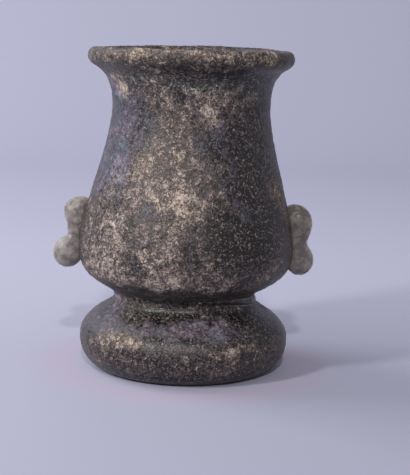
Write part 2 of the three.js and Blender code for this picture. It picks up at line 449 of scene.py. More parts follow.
def skin_rings(rings: list[list[Vector]]) -> bmesh.types.BMesh:
    """Extrudes one ring of points through a row of rings and closes both ends.

    Args:
        rings: Rings with as many points each, in millimetres.

    Returns:
        The closed mesh with outward faces.
    """
    mesh = bmesh.new()
    made = bmesh.ops.create_circle(mesh, cap_ends=False, segments=len(rings[0]), radius=1)
    current = made["verts"]
    for vert, place in zip(current, rings[0]):
        vert.co = place
    edges = mesh.edges[:]
    for ring in rings[1:]:
        grown = bmesh.ops.extrude_edge_only(mesh, edges=edges)["geom"]
        fresh = {item for item in grown if isinstance(item, bmesh.types.BMVert)}
        edges = [
            item for item in grown
            if isinstance(item, bmesh.types.BMEdge) and all(vert in fresh for vert in item.verts)
        ]
        following = []
        for old in current:
            new = next(edge.other_vert(old) for edge in old.link_edges if edge.other_vert(old) in fresh)
            following.append(new)
        for vert, place in zip(following, ring):
            vert.co = place
        current = following
    bmesh.ops.holes_fill(mesh, edges=[edge for edge in mesh.edges if edge.is_boundary], sides=0)
    caps = [face for face in mesh.faces if len(face.verts) > 4]
    bmesh.ops.poke(mesh, faces=caps)
    bmesh.ops.recalc_face_normals(mesh, faces=mesh.faces[:])
    return mesh


def show(mesh: bmesh.types.BMesh, name: str, material: bpy.types.Material) -> bpy.types.Object:
    """Turns a mesh into a smooth-shaded object in the scene, and frees the mesh.

    Args:
        mesh: The finished mesh, in metres.
        name: Name of the object.
        material: Its material.

    Returns:
        The new object.
    """
    data = bpy.data.meshes.new(name)
    mesh.to_mesh(data)
    mesh.free()
    for polygon in data.polygons:
        polygon.use_smooth = True
    data.materials.append(material)
    shown = bpy.data.objects.new(name, data)
    bpy.context.collection.objects.link(shown)
    return shown


def finish_piece(
    mesh: bmesh.types.BMesh, name: str, nodes: tuple[str, ...], material: bpy.types.Material
) -> bpy.types.Object:
    """Turns a mesh into a shown object that rides on the vase and stands for its CAD nodes.

    Args:
        mesh: The finished mesh, in metres.
        name: Name of the piece.
        nodes: CAD nodes that it stands for.
        material: Its material.

    Returns:
        The new object.
    """
    piece = show(mesh, name, material)
    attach(piece, BODY_NAME)
    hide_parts(*nodes)
    log.info("%s: %d faces", name, len(piece.data.polygons))
    return piece


class Wire:
    """A shader socket that can be used in arithmetic."""

    def __init__(self, graph: "Graph", socket: bpy.types.NodeSocket) -> None:
        """Wraps a socket of a graph."""
        self.graph = graph
        self.socket = socket

    def math(self, operation: str, *others: "Wire | float", flipped: bool = False) -> "Wire":
        """Joins this value with others through a Math node.

        Args:
            operation: The node's operation.
            others: The other values.
            flipped: Whether the values go in from last to first.

        Returns:
            The node's output.
        """
        values = [self, *others]
        if flipped:
            values.reverse()
        return self.graph.node("ShaderNodeMath", {"operation": operation}, dict(enumerate(values)))

    def __add__(self, other: "Wire | float") -> "Wire":
        """Sum."""
        return self.math("ADD", other)

    def __sub__(self, other: "Wire | float") -> "Wire":
        """Difference."""
        return self.math("SUBTRACT", other)

    def __rsub__(self, other: float) -> "Wire":
        """Difference from a number."""
        return self.math("SUBTRACT", other, flipped=True)

    def __mul__(self, other: "Wire | float") -> "Wire":
        """Product."""
        return self.math("MULTIPLY", other)

    __radd__ = __add__
    __rmul__ = __mul__

    def eased(self, low: float, high: float) -> "Wire":
        """Eased share of the way from low to high."""
        return self.graph.node(
            "ShaderNodeMapRange",
            {"interpolation_type": "SMOOTHSTEP"},
            {"Value": self, "From Min": low, "From Max": high},
        )


Value = Wire | float | tuple[float, ...]


class Graph:
    """Builds one material's nodes."""

    grain_roughness: float = 0.62
    warp_detail: float = 2.0

    def __init__(self, name: str) -> None:
        """Starts an empty material with a Principled shader."""
        self.material = bpy.data.materials.new(name)
        self.material.use_nodes = True
        self.tree = self.material.node_tree
        self.shader = self.tree.nodes["Principled BSDF"]
        self.place = self.node("ShaderNodeTexCoord", output="Object")

    def node(
        self,
        kind: str,
        settings: dict[str, object] | None = None,
        inputs: dict[str | int, Value] | None = None,
        output: str | int = 0,
    ) -> Wire:
        """Adds a node, sets it up and returns one of its outputs.

        Args:
            kind: Node type.
            settings: Properties that are set first.
            inputs: Values or links of its sockets, by name or number.
            output: Name or number of the output to return.

        Returns:
            The output as a wire.
        """
        made = self.tree.nodes.new(kind)
        for key, value in (settings or {}).items():
            setattr(made, key, value)
        for key, value in (inputs or {}).items():
            self.feed(made.inputs[key], value)
        return Wire(self, made.outputs[output])

    def feed(self, socket: bpy.types.NodeSocket, value: Value) -> None:
        """Links a wire to a socket, or sets the socket's own value.

        Args:
            socket: The socket to feed.
            value: A wire, a number or a colour, which gets an alpha of 1 where the socket has one.
        """
        if isinstance(value, Wire):
            self.tree.links.new(value.socket, socket)
        elif isinstance(value, tuple) and len(value) == 3 and len(socket.default_value) == 4:
            socket.default_value = (*value, 1.0)
        else:
            socket.default_value = value

    def mix(self, share: Value, first: Value, second: Value, blend: str = "MIX") -> Wire:
        """Mixes two colours."""
        return self.node(
            "ShaderNodeMix", {"data_type": "RGBA", "blend_type": blend}, {0: share, 6: first, 7: second}, 2
        )

    def grain(self, size: float, detail: float = 3.0, twist: float = 0.0, place: Wire | None = None) -> Wire:
        """Noise from 0 to 1 with features of about a size in millimetres."""
        return self.node(
            "ShaderNodeTexNoise",
            {"noise_dimensions": "3D"},
            {
                "Vector": place or self.place,
                "Scale": 1 / (size * MM),
                "Detail": detail,
                "Roughness": self.grain_roughness,
                "Distortion": twist,
            },
        )

    def warped(self, size: float, reach: float) -> Wire:
        """Object coordinates pushed about by noise, for curled and wormy patterns.

        Args:
            size: Size of the curls, in millimetres.
            reach: How far the noise may push, in millimetres.

        Returns:
            The pushed coordinates.
        """
        push = self.node(
            "ShaderNodeTexNoise",
            {},
            {"Vector": self.place, "Scale": 1 / (size * MM), "Detail": self.warp_detail},
            "Color",
        )
        middle = (NOISE_MIDDLE, NOISE_MIDDLE, NOISE_MIDDLE)
        centred = self.node("ShaderNodeVectorMath", {"operation": "SUBTRACT"}, {0: push, 1: middle})
        scaled = self.node("ShaderNodeVectorMath", {"operation": "SCALE"}, {0: centred, "Scale": reach * MM})
        return self.node("ShaderNodeVectorMath", {"operation": "ADD"}, {0: self.place, 1: scaled})

    def channels(self) -> tuple[Wire, Wire, Wire, Wire]:
        """Reads the weathering attribute.

        Returns:
            Crust, film, bare glass and warm tint, in places painted light and shade.
        """
        read = self.tree.nodes.new("ShaderNodeAttribute")
        read.attribute_name = FIELD
        split = self.tree.nodes.new("ShaderNodeSeparateColor")
        self.tree.links.new(read.outputs["Color"], split.inputs[0])
        red, green, blue = (Wire(self, out) for out in split.outputs[:3])
        return red, green, blue, Wire(self, read.outputs["Alpha"])

    def set(self, name: str, value: Value) -> None:
        """Sets or links one socket of the shader."""
        self.feed(self.shader.inputs[name], value)

    def bump(self, height: Wire, distance: float, strength: float = 1.0) -> None:
        """Feeds a height, whose full range is a distance in millimetres, to the shader's normal."""
        normal = self.node(
            "ShaderNodeBump", {}, {"Strength": strength, "Distance": distance * MM, "Height": height}
        )
        self.set("Normal", normal)


def shade(red: int, green: int, blue: int) -> Colour:
    """Scene colour of a display colour.

    Args:
        red: Red, up to 255.
        green: Green, up to 255.
        blue: Blue, up to 255.

    Returns:
        The three linear channels.
    """

    def linear(value: int) -> float:
        """One channel."""
        share = value / 255
        return share / 12.92 if share <= 0.04045 else ((share + 0.055) / 1.055) ** 2.4

    return linear(red), linear(green), linear(blue)


@dataclass(frozen=True)
class WeatheredGlass:
    """Near-black glass under a bluish violet film and a flaking beige crust.

    Sizes are millimetres. The tone spans lie on a scale of light, from about 0 for bare dark glass to
    about 1 for the palest crust, and give where each tone gives way to the next. A cover is the most
    that a tint hides, and the other numbers are shares of the noises.
    """

    name: str
    dark: Colour = shade(18, 16, 18)
    brown: Colour = shade(68, 58, 55)
    taupe: Colour = shade(106, 93, 88)
    beige: Colour = shade(146, 130, 120)
    pale: Colour = shade(190, 175, 161)
    film_blue: Colour = shade(86, 93, 112)
    film_violet: Colour = shade(109, 95, 112)
    earth: Colour = shade(146, 130, 110)
    # Green tint; under the lip and on the lower belly it is part of the painted shade.
    green: Colour = shade(98, 102, 96)
    curl_size: float = 1.7
    curl_reach: float = 1.5
    flake_size: float = 2.6
    grit_size: float = 0.72
    fine_size: float = 0.5
    broad_size: float = 9.0
    worm_size: float = 1.5
    worm_width: float = 0.040
    film_span: Span = (0.40, 0.78)
    film_broad: float = 0.9
    film_flake: float = 0.7
    film_cover: float = 0.85
    film_hush: float = 0.50
    hue_span: Span = (0.42, 0.58)
    bare_span: Span = (0.45, 0.66)
    bare_flake: float = 0.9
    bare_grit: float = 0.5
    bare_depth: float = 0.18
    ground_light: float = 0.38
    crust_level: float = 0.40
    crust_gain: float = 1.15
    flake_gain: float = 1.1
    grit_gain: float = 1.65
    fine_gain: float = 1.0
    worm_level: float = 0.35
    worm_gain: float = 0.24
    brown_span: Span = (0.04, 0.42)
    taupe_span: Span = (0.38, 0.56)
    beige_span: Span = (0.50, 0.76)
    pale_span: Span = (0.68, 1.15)
    earth_span: Span = (0.45, 0.95)
    earth_cover: float = 0.7
    green_span: Span = (0.66, 0.95)
    green_cover: float = 0.5
    dust_fine: float = 0.4
    dust_span: Span = (0.77, 0.85)
    dust_end: Span = (0.3, 0.5)
    dust_cover: float = 0.8
    matt_span: Span = (0.35, 0.62)
    rough_swing: float = 0.25
    film_roughness: float = 0.34
    crust_roughness: float = 0.85
    relief: float = 0.27
    relief_span: Span = (0.2, 0.9)
    relief_light: float = 0.7
    relief_flake: float = 0.4
    relief_fine: float = 0.3

    def toned(self, graph: Graph, light: Wire) -> Wire:
        """Colour of the crust and the glass under it, from dark to pale.

        Args:
            graph: The material's nodes.
            light: How light each place is.

        Returns:
            The colour before its tints.
        """
        base = graph.mix(light.eased(*self.brown_span), self.dark, self.brown)
        base = graph.mix(light.eased(*self.taupe_span), base, self.taupe)
        base = graph.mix(light.eased(*self.beige_span), base, self.beige)
        return graph.mix(light.eased(*self.pale_span), base, self.pale)

    def material(self) -> bpy.types.Material:
        """Builds the material.

        Returns:
            A procedural material on Object coordinates and the weathering attribute.
        """
        graph = Graph(self.name)
        crust, film, bare, warm = graph.channels()
        curled = graph.warped(self.curl_size, self.curl_reach)
        flake = graph.grain(self.flake_size, detail=3.0, twist=0.3, place=curled)
        grit = graph.grain(self.grit_size, detail=2.0, twist=0.9, place=curled)
        fine = graph.grain(self.fine_size, detail=2.0)
        broad = graph.grain(self.broad_size, detail=3.0)
        lines = graph.grain(self.worm_size, detail=1.0, place=curled)
        worm = 1 - (lines - NOISE_MIDDLE).math("ABSOLUTE").eased(0.0, self.worm_width)
        filmed = film + (broad - NOISE_MIDDLE) * self.film_broad + (flake - NOISE_MIDDLE) * self.film_flake
        filmed = filmed.eased(*self.film_span)
        bared = bare + (flake - NOISE_MIDDLE) * self.bare_flake + (grit - NOISE_MIDDLE) * self.bare_grit
        bared = bared.eased(*self.bare_span)

        lively = 1 - filmed * self.film_hush
        # Crust lightens the tone; on the lip's top, the trail's edges and the waist's left it is painted
        # light.
        patchy = self.ground_light + (crust - self.crust_level) * self.crust_gain
        patchy = patchy + (flake - NOISE_MIDDLE) * self.flake_gain * lively
        speckle = (grit - NOISE_MIDDLE) * self.grit_gain + (fine - NOISE_MIDDLE) * self.fine_gain
        speckle = speckle + (worm - self.worm_level) * self.worm_gain
        # Bare glass darkens the tone; under the lip and on the lower belly it is painted shade.
        light = patchy + speckle * lively - bared * self.bare_depth
        base = self.toned(graph, light)

        film_colour = graph.mix(broad.eased(*self.hue_span), self.film_blue, self.film_violet)
        base = graph.mix(filmed * self.film_cover, base, film_colour, "COLOR")
        base = graph.mix(warm.eased(*self.earth_span) * self.earth_cover, base, self.earth, "COLOR")
        # Green where the warm channel is low; under the lip and on the lower belly this is painted shade.
        base = graph.mix((1 - warm).eased(*self.green_span) * self.green_cover, base, self.green, "COLOR")
        dusted = (grit + fine * self.dust_fine).eased(*self.dust_span) * (1 - light.eased(*self.dust_end))
        graph.set("Base Color", graph.mix(dusted * self.dust_cover, base, self.beige))

        matt = light.eased(*self.matt_span)
        rough = self.film_roughness + (fine - NOISE_MIDDLE) * self.rough_swing
        graph.set("Roughness", rough + matt * (self.crust_roughness - self.film_roughness))
        graph.set("IOR", GLASS_IOR)
        height = light.eased(*self.relief_span) * self.relief_light + flake * self.relief_flake
        graph.bump(height + fine * self.relief_fine, self.relief)
        return graph.material


@dataclass(frozen=True)
class FrostedGlass:
    """Pale grey glass, frosted by wear, with brown specks and bluish patches.

    Sizes are millimetres. A cover is the most that a tint hides, and the numbers named for a noise are
    its shares.
    """

    name: str
    pale: Colour = shade(160, 151, 145)
    grey: Colour = shade(108, 99, 95)
    blue: Colour = shade(128, 130, 140)
    speck: Colour = shade(96, 82, 68)
    shadow: Colour = shade(60, 54, 50)
    broad_size: float = 3.5
    fine_size: float = 0.5
    dust_size: float = 1.0
    curl_size: float = 2.0
    curl_reach: float = 1.5
    pale_span: Span = (0.36, 0.64)
    pale_dust: float = 0.6
    blue_span: Span = (0.5, 0.9)
    blue_cover: float = 0.6
    speck_span: Span = (0.54, 0.74)
    speck_dust: float = 1.6
    speck_fine: float = 0.8
    speck_cover: float = 0.7
    shadow_span: Span = (0.5, 0.9)
    shadow_dust: float = 0.6
    shadow_cover: float = 0.6
    roughness: float = 0.42
    rough_swing: float = 0.3
    speck_roughness: float = 0.3
    depth: float = 3.0
    depth_share: float = 0.5
    depth_colour: Colour = (1.0, 0.95, 0.9)
    clear_share: float = 0.25
    sheen: float = 0.45
    sheen_roughness: float = 0.45
    relief: float = 0.14
    relief_specks: float = 0.5
    relief_dust: float = 0.5
    relief_fine: float = 0.3

    def material(self) -> bpy.types.Material:
        """Builds the material.

        Returns:
            A procedural material on Object coordinates and the weathering attribute.
        """
        graph = Graph(self.name)
        crust, film, bare, _ = graph.channels()
        broad = graph.grain(self.broad_size, detail=3.0)
        fine = graph.grain(self.fine_size, detail=3.0)
        curled = graph.warped(self.curl_size, self.curl_reach)
        dust = graph.grain(self.dust_size, detail=4.0, twist=0.5, place=curled)
        clean = (broad + (dust - NOISE_MIDDLE) * self.pale_dust).eased(*self.pale_span)
        base = graph.mix(clean, self.grey, self.pale)
        base = graph.mix(film.eased(*self.blue_span) * self.blue_cover, base, self.blue)
        specks = crust + (dust - NOISE_MIDDLE) * self.speck_dust + (fine - NOISE_MIDDLE) * self.speck_fine
        specks = specks.eased(*self.speck_span)
        base = graph.mix(specks * self.speck_cover, base, self.speck)
        shaded = (bare + (dust - NOISE_MIDDLE) * self.shadow_dust).eased(*self.shadow_span)
        graph.set("Base Color", graph.mix(shaded * self.shadow_cover, base, self.shadow))
        rough = self.roughness + (fine - NOISE_MIDDLE) * self.rough_swing
        graph.set("Roughness", rough + specks * self.speck_roughness)
        graph.set("IOR", GLASS_IOR)
        graph.set("Subsurface Weight", self.depth_share)
        graph.set("Subsurface Radius", self.depth_colour)
        graph.set("Subsurface Scale", self.depth * MM)
        graph.set("Transmission Weight", self.clear_share)
        graph.set("Sheen Weight", self.sheen)
        graph.set("Sheen Roughness", self.sheen_roughness)
        height = specks * self.relief_specks + dust * self.relief_dust + fine * self.relief_fine
        graph.bump(height, self.relief)
        return graph.material


@dataclass(frozen=True)
class SweepPaper:
    """Pale paper, darker at the front as painted shade, with a faint pinkish ring of painted light round the
    foot. Metres.

    The ring imitates the tint of light through the glass round the real foot. No light comes through the
    glass to make it.
    """

    name: str
    back: Colour = shade(192, 192, 212)
    # The front colour is the paper in painted shade.
    front: Colour = shade(158, 158, 176)
    # The colour of the painted light round the foot.
    light_ring_pink: Colour = shade(190, 162, 182)
    painted_shade_span: Span = (-0.16, 0.22)
    light_ring_start: Span = (0.030, 0.038)
    light_ring_end: Span = (0.038, 0.054)
    light_ring_cover: float = 0.24
    roughness: float = 0.85
    specular: float = 0.2

    def material(self) -> bpy.types.Material:
        """Builds the material.

        Returns:
            A procedural material on Object coordinates.
        """
        graph = Graph(self.name)
        across = graph.node("ShaderNodeSeparateXYZ", {}, {0: graph.place}, "Y")
        # Painted shade: the paper is darker towards the front.
        paper = graph.mix(across.eased(*self.painted_shade_span), self.front, self.back)
        away = graph.node("ShaderNodeVectorMath", {"operation": "LENGTH"}, {0: graph.place}, "Value")
        # Painted light: a faint pinkish ring round the foot, for light through the glass.
        ring = away.eased(*self.light_ring_start) * (1 - away.eased(*self.light_ring_end))
        graph.set("Base Color", graph.mix(ring * self.light_ring_cover, paper, self.light_ring_pink))
        graph.set("Roughness", self.roughness)
        graph.set("Specular IOR Level", self.specular)
        return graph.material


@dataclass
class Body:
    """The blown body: rounded base, belly, neck and flared, fire-rounded lip. Millimetres."""

    crest: float = 100.0
    lip: Station = Station(31.8, 97.6)
    neck: Station = Station(24.5, 82.0)
    belly: Station = Station(33.7, 37.5)
    waist: Station = Station(22.0, 22.1)
    lip_pull: float = 4.6
    flare_pull: float = 14.2
    neck_pull: float = 11.0
    shoulder_pull: float = 11.5
    belly_pull: float = 11.2
    waist_pull: float = 5.5
    lip_thickness: float = 3.9
    neck_wall: float = 2.4
    belly_wall: float = 2.3
    floor_level: float = 24.7
    floor_pulls: tuple[float, float] = (24, 8.5)
    base_depth: float = 2.1
    wall_steps: int = 38
    crest_steps: int = 18
    inner_flare_steps: int = 10
    inner_wall_steps: int = 14
    floor_steps: int = 12
    segments: int = 400
    weathering: Weathering = field(
        default_factory=lambda: Weathering(
            crust=(
                Patch(-22, 60, 32, 10, 0.17),
                # Painted highlight: a thin pale line of crust along the top of the lip.
                Patch(10, 99.4, 60, 0.8, 0.15),
                Patch(0, 54, 8, 3.5, 0.16),
                Patch(-29, 41, 34, 9, 0.15),
                Patch(33, 53, 9, 3.5, 0.18),
                Patch(-28, 30.6, 20, 2.4, 0.18),
                Patch(17, 31.0, 16, 2.0, 0.20),
                Patch(34, 36, 24, 3.0, 0.12),
                Patch(-57, 88, 12, 3.0, 0.22),
                Patch(7, 86, 16, 5, 0.10),
                Patch(-14, 80, 7, 7, 0.14),
                Patch(17, 79, 9, 3.5, 0.20),
                Patch(-4, 68, 12, 6, 0.02),
                Patch(12, 40, 12, 8, -0.08),
                Patch(30, 96.6, 12, 2.0, 0.12),
                Patch(-50, 97.5, 24, 2.2, 0.08),
                Patch(-20, 51.7, 9, 3.0, -0.22),
                Patch(13, 51.3, 9, 3.0, -0.20),
                Patch(37, 45, 24, 10, -0.32),
                Patch(42, 68, 22, 15, -0.22),
                Patch(-62, 72, 20, 17, 0.02),
                # Painted light: pale crust at the left of the waist, where light shows through the glass.
                Patch(-66, 24, 12, 3.0, 0.30),
                Patch(-38, 78, 9, 7, -0.14),
                Patch(10, 72, 9, 5, -0.14),
                # Painted shade on the lower belly, which faces down: less crust there.
                Patch(20, 27.0, 80, 2.4, -0.10),
                # The next two patches paint shadow under the lip: less crust there.
                Patch(35, 92.0, 20, 2.2, -0.30),
                Patch(-10, 92.6, 40, 1.5, -0.10),
                Patch(68, 80, 14, 14, -0.12),
            ),
            film=(
                Patch(-66, 72, 26, 19, 0.55),
                Patch(-36, 79, 12, 8, 0.35),
                Patch(38, 66, 20, 15, 0.40),
                Patch(10, 72, 12, 6, 0.35),
                # Painted light: pale film at the left of the waist, where light shows through the glass.
                Patch(-68, 24, 16, 3.5, 0.6),
                Patch(-20, 51.7, 9, 3.2, 0.30),
                Patch(36, 45, 20, 9, 0.28),
                Patch(22, 29, 60, 3, -0.20),
            ),
            bare=(
                Patch(38, 43, 20, 9, 0.20),
                # Painted shade on the lower belly, which faces down: dark bare glass.
                Patch(20, 27.2, 75, 2.6, 0.24),
                # Painted shadow under the lip: dark bare glass.
                Patch(35, 92.0, 22, 2.4, 0.45),
                Patch(36, 66, 14, 12, 0.10),
                Patch(-60, 70, 25, 20, -0.25),
                Patch(13, 51.3, 9, 3.0, 0.15),
            ),
            warm=(
                Patch(0, 53, 10, 3.5, 0.28),
                Patch(0, 96.5, 80, 3.0, 0.34),
                Patch(-30, 66, 12, 4, 0.15),
                Patch(68, 64, 14, 14, 0.20),
                # The next two patches paint shadow under the lip: a green tint there.
                Patch(-10, 91, 60, 2.5, -0.36),
                Patch(35, 90, 25, 4, -0.36),
                # Painted shade on the lower belly, which faces down: a green tint.
                Patch(0, 26, 90, 3.5, -0.30),
            ),
            crust_base=0.43,
            film_base=0.26,
            bare_base=0.20,
            warm_base=0.44,
        )
    )

    def wall(self, steps: int) -> list[Station]:
        """Outside of the body.

        Args:
            steps: Steps along the lower and the upper stretch. The middle one has twice as many.

        Returns:
            The stations from the waist to the widest point of the lip.
        """
        return (
            upright(self.waist, self.belly, self.waist_pull, self.belly_pull, steps)
            + upright(self.belly, self.neck, self.shoulder_pull, self.neck_pull, 2 * steps)[1:]
            + upright(self.neck, self.lip, self.flare_pull, self.lip_pull, steps)[1:]
        )

    def radius_at(self, level: float) -> float:
        """Radius of the outside wall at a level."""
        return radius_on(self.wall(LOOKUP_STEPS), level)

    def outline(self) -> list[Station]:
        """The whole section of the body.

        Returns:
            The stations from the base's middle, over the lip, to the middle of the floor inside.
        """
        thick = self.lip_thickness
        crest = Station(self.lip.radius - thick / 2, self.lip.level)
        inner_lip = Station(self.lip.radius - thick, self.lip.level)
        inner_neck = Station(self.neck.radius - self.neck_wall, self.neck.level)
        inner_belly = Station(self.belly.radius - self.belly_wall, self.belly.level)
        return (
            dome(self.waist, self.base_depth)
            + self.wall(self.wall_steps)
            + arc(crest, thick / 2, self.crest - self.lip.level, 0, 180, self.crest_steps)[1:]
            + upright(inner_lip, inner_neck, self.lip_pull, self.flare_pull, self.inner_flare_steps)[1:]
            + upright(inner_neck, inner_belly, self.neck_pull, self.shoulder_pull, self.inner_wall_steps)[1:]
            + bowl(Station(0, self.floor_level), inner_belly, *self.floor_pulls, self.floor_steps)[::-1][1:]
        )

    def build(self, material: bpy.types.Material) -> bpy.types.Object:
        """Builds the body and dresses it.

        Args:
            material: Its material.

        Returns:
            The body's object.
        """
        mesh = spin_outline(self.outline(), self.segments)
        weather(mesh, self.weathering)
        return finish_piece(mesh, "body_glass", ("body",), material)


@dataclass
class Foot:
    """The blown foot: a hollow bell with its edge turned in under it. Millimetres."""

    bulge: Station = Station(33.0, 9.5)
    top: Station = Station(22.15, 22.5)
    shoulder_pull: float = 8.0
    collar_pull: float = 3.9
    rest_outer: float = 25.5
    rest_width: float = 2.4
    wall: float = 2.8
    edge_thickness: float = 2.5
    vault_level: float = 16.85
    vault_pulls: tuple[float, float] = (21.5, 4)
    edge_pulls: tuple[float, float] = (5, 5)
    seat_depth: float = 2.1
    vault_steps: int = 14
    edge_steps: int = 8
    rest_steps: int = 10
    underside_steps: int = 34
    shoulder_steps: int = 44
    segments: int = 380
    weathering: Weathering = field(
        default_factory=lambda: Weathering(
            crust=(
                Patch(-36, 12.8, 17, 2.6, 0.22),
                Patch(38, 11.2, 24, 1.6, 0.18),
                Patch(30, 7, 30, 2.0, 0.06),
                Patch(-64, 17.5, 34, 4.5, 0.12),
                Patch(-62, 22.5, 12, 2.5, 0.16),
                Patch(10, 17.2, 32, 2.6, 0.19),
                Patch(58, 16, 26, 5, -0.22),
                Patch(0, 1.2, 180, 2.4, -0.30),
                Patch(4, 20.6, 40, 1.4, -0.14),
                Patch(5, 14.0, 50, 1.2, -0.12),
            ),
            # Film on the top of the foot takes the foot's paler film colours, which are partly painted light
            # through the glass.
            film=(
                Patch(-64, 17.0, 36, 5.0, 0.62),
                Patch(10, 17.0, 32, 2.8, 0.62),
                Patch(60, 15, 24, 5, -0.10),
            ),
            bare=(
                Patch(0, 0.8, 180, 2.2, 0.50),
                Patch(60, 17, 20, 3.0, 0.26),
                Patch(0, 21.4, 60, 1.3, 0.30),
                Patch(-75, 10, 12, 3.5, 0.10),
                Patch(38, 8.6, 30, 1.2, 0.16),
                Patch(-60, 17, 34, 5.0, -0.35),
            ),
            warm=(
                Patch(-40, 13.0, 12, 2.4, 0.28),
                Patch(76, 12, 14, 6, 0.55),
                Patch(38, 11.0, 22, 1.6, 0.15),
                Patch(0, 21.5, 60, 1.8, -0.30),
            ),
            crust_base=0.32,
            film_base=0.26,
            bare_base=0.22,
            warm_base=0.44,
            wobble=0.16,
        )
    )

    def shoulder(self, steps: int) -> list[Station]:
        """Outside from the widest point up to the waist."""
        return upright(self.bulge, self.top, self.shoulder_pull, self.collar_pull, steps)

    def outline(self) -> list[Station]:
        """The whole section of the foot.

        Returns:
            The stations from the vault's middle, round the edge, to the middle of the seat.
        """
        edge_radius = self.rest_outer - self.rest_width
        edge = Station(edge_radius, self.edge_thickness / 2)
        edge_top = Station(edge_radius, self.edge_thickness)
        inner_bulge = Station(self.bulge.radius - self.wall, self.bulge.level)
        overhang = self.bulge.radius - self.rest_outer
        under = Station(self.rest_outer, self.bulge.level)
        return (
            bowl(Station(0, self.vault_level), inner_bulge, *self.vault_pulls, self.vault_steps)
            + bowl(edge_top, inner_bulge, *self.edge_pulls, self.edge_steps)[::-1][1:]
            + arc(edge, edge.level, edge.level, 90, 270, self.rest_steps)[1:]
            + arc(under, overhang, self.bulge.level, -90, 0, self.underside_steps)
            + self.shoulder(self.shoulder_steps)[1:]
            + dome(self.top, self.seat_depth)[::-1]
        )

    def build(self, material: bpy.types.Material) -> bpy.types.Object:
        """Builds the foot and dresses it.

        Args:
            material: Its material.

        Returns:
            The foot's object.
        """
        mesh = spin_outline(self.outline(), self.segments)
        weather(mesh, self.weathering)
        return finish_piece(mesh, "foot_glass", ("foot",), material)


@dataclass
class WaistTrail:
    """The trail wound round the waist, from its tail at the front round the right side and the back.

    Lengths are millimetres and angles along the trail are degrees from its tail.
    """

    height: float = 3.1
    thickness: float = 2.5
    proud: float = 0.75
    level: float = 22.1
    tail_level: float = 24.7
    tail_bearing: float = -78.0
    wrap: float = 250.0
    taper: float = 34.0
    descent: float = 75.0
    # The line and tip values paint a highlight: pale crust along the edges of the tail and over its tip.
    line_start: Span = (0.7, 1.1)
    line_end: Span = (1.5, 1.8)
    line_fade: Span = (90, 140)
    highlight_amount: float = 0.8
    line_lead: float = 20
    tip_span: Span = (1, 4)
    end_share: float = 0.1
    steps: int = 220
    sides: int = 40
    weathering: Weathering = field(
        default_factory=lambda: Weathering(
            crust_base=0.24, film_base=0.30, bare_base=0.42, warm_base=0.3, crust_relief=0.1, wobble=0.1
        )
    )

    def level_at(self, along: float) -> float:
        """Level of the trail's middle at an angle along it in degrees."""
        return self.tail_level + (self.level - self.tail_level) * smooth(along, 0, self.descent)

    def painted_highlight_line(self, place: Vector) -> float:
        """Painted highlight: pale crust along the upper and lower edge of the tail and over the tail's tip.

        Args:
            place: A point on the trail, in millimetres.

        Returns:
            The pale crust to add there, which paints the highlight.
        """
        bearing = math.degrees(math.atan2(place.y, place.x))
        along = (bearing - self.tail_bearing + self.line_lead) % 360 - self.line_lead
        offset = abs(place.z - self.level_at(along))
        line = smooth(offset, *self.line_start) * (1 - smooth(offset, *self.line_end))
        edge = max(line, 1 - smooth(along, *self.tip_span))
        return self.highlight_amount * edge * (1 - smooth(along, *self.line_fade))

    def ring(self, along: float, outside: list[Station]) -> list[Vector]:
        """One ring round the trail, leaning with the wall that it lies on.

        Args:
            along: Angle along the trail.
            outside: The walls of the foot and the body, from low to high.

        Returns:
            The ring's points, in millimetres.
        """
        from_tip = min(along, self.wrap - along)
        fullness = math.sqrt(1 - (1 - min(from_tip / self.taper, 1)) ** 2)
        level = self.level_at(along)
        # The wall's lean is taken over the middle third of the trail's height.
        rise = self.height / 6
        outwards = radius_on(outside, level + rise) - radius_on(outside, level - rise)
        lean = Vector((outwards, 2 * rise)).normalized()
        out = Vector((lean.y, -lean.x))
        centre = Vector((radius_on(outside, level), level))
        centre = centre + out * (self.proud - self.thickness / 2) * fullness
        bearing = math.radians(self.tail_bearing + along)
        points = []
        for side in range(self.sides):
            angle = 2 * math.pi * side / self.sides
            spot = centre + out * (self.thickness / 2 * fullness * math.cos(angle))
            spot += lean * (self.height / 2 * fullness * math.sin(angle))
            points.append(Vector((spot.x * math.cos(bearing), spot.x * math.sin(bearing), spot.y)))
        return points

    def build(self, body: Body, foot: Foot, material: bpy.types.Material) -> bpy.types.Object:
        """Builds the trail on the walls of the body and the foot.

        Args:
            body: The body that it is wound round.
            foot: The foot below it.
            material: Its material.

        Returns:
            The trail's object.
        """
        outside = foot.shoulder(LOOKUP_STEPS) + body.wall(LOOKUP_STEPS)
        rings = []
        for step in range(self.steps + 1):
            along = self.wrap * (step + self.end_share) / (self.steps + 2 * self.end_share)
            rings.append(self.ring(along, outside))
        mesh = skin_rings(rings)
        weather(mesh, self.weathering, self.painted_highlight_line)
        return finish_piece(mesh, "waist_trail_glass", ("waist_trail",), material)


@dataclass(frozen=True)
class Lobe:
    """One pressed lobe of a handle: where it sits and its radii, in millimetres."""

    level: float
    stand_off: float
    reach: float
    rise: float
    half: float


LEFT_LOBES = (
    Lobe(48.3, 1.4, 5.4, 4.6, 3.9),
    Lobe(43.4, 0.5, 4.0, 5.5, 3.3),
    Lobe(35.3, 3.8, 4.8, 4.9, 4.2),
)
RIGHT_LOBES = (
    Lobe(46.1, 1.2, 5.7, 6.3, 4.3),
    Lobe(39.6, 0.1, 4.4, 5.2, 3.5),
    Lobe(34.7, 2.7, 4.5, 4.8, 4.1),
)


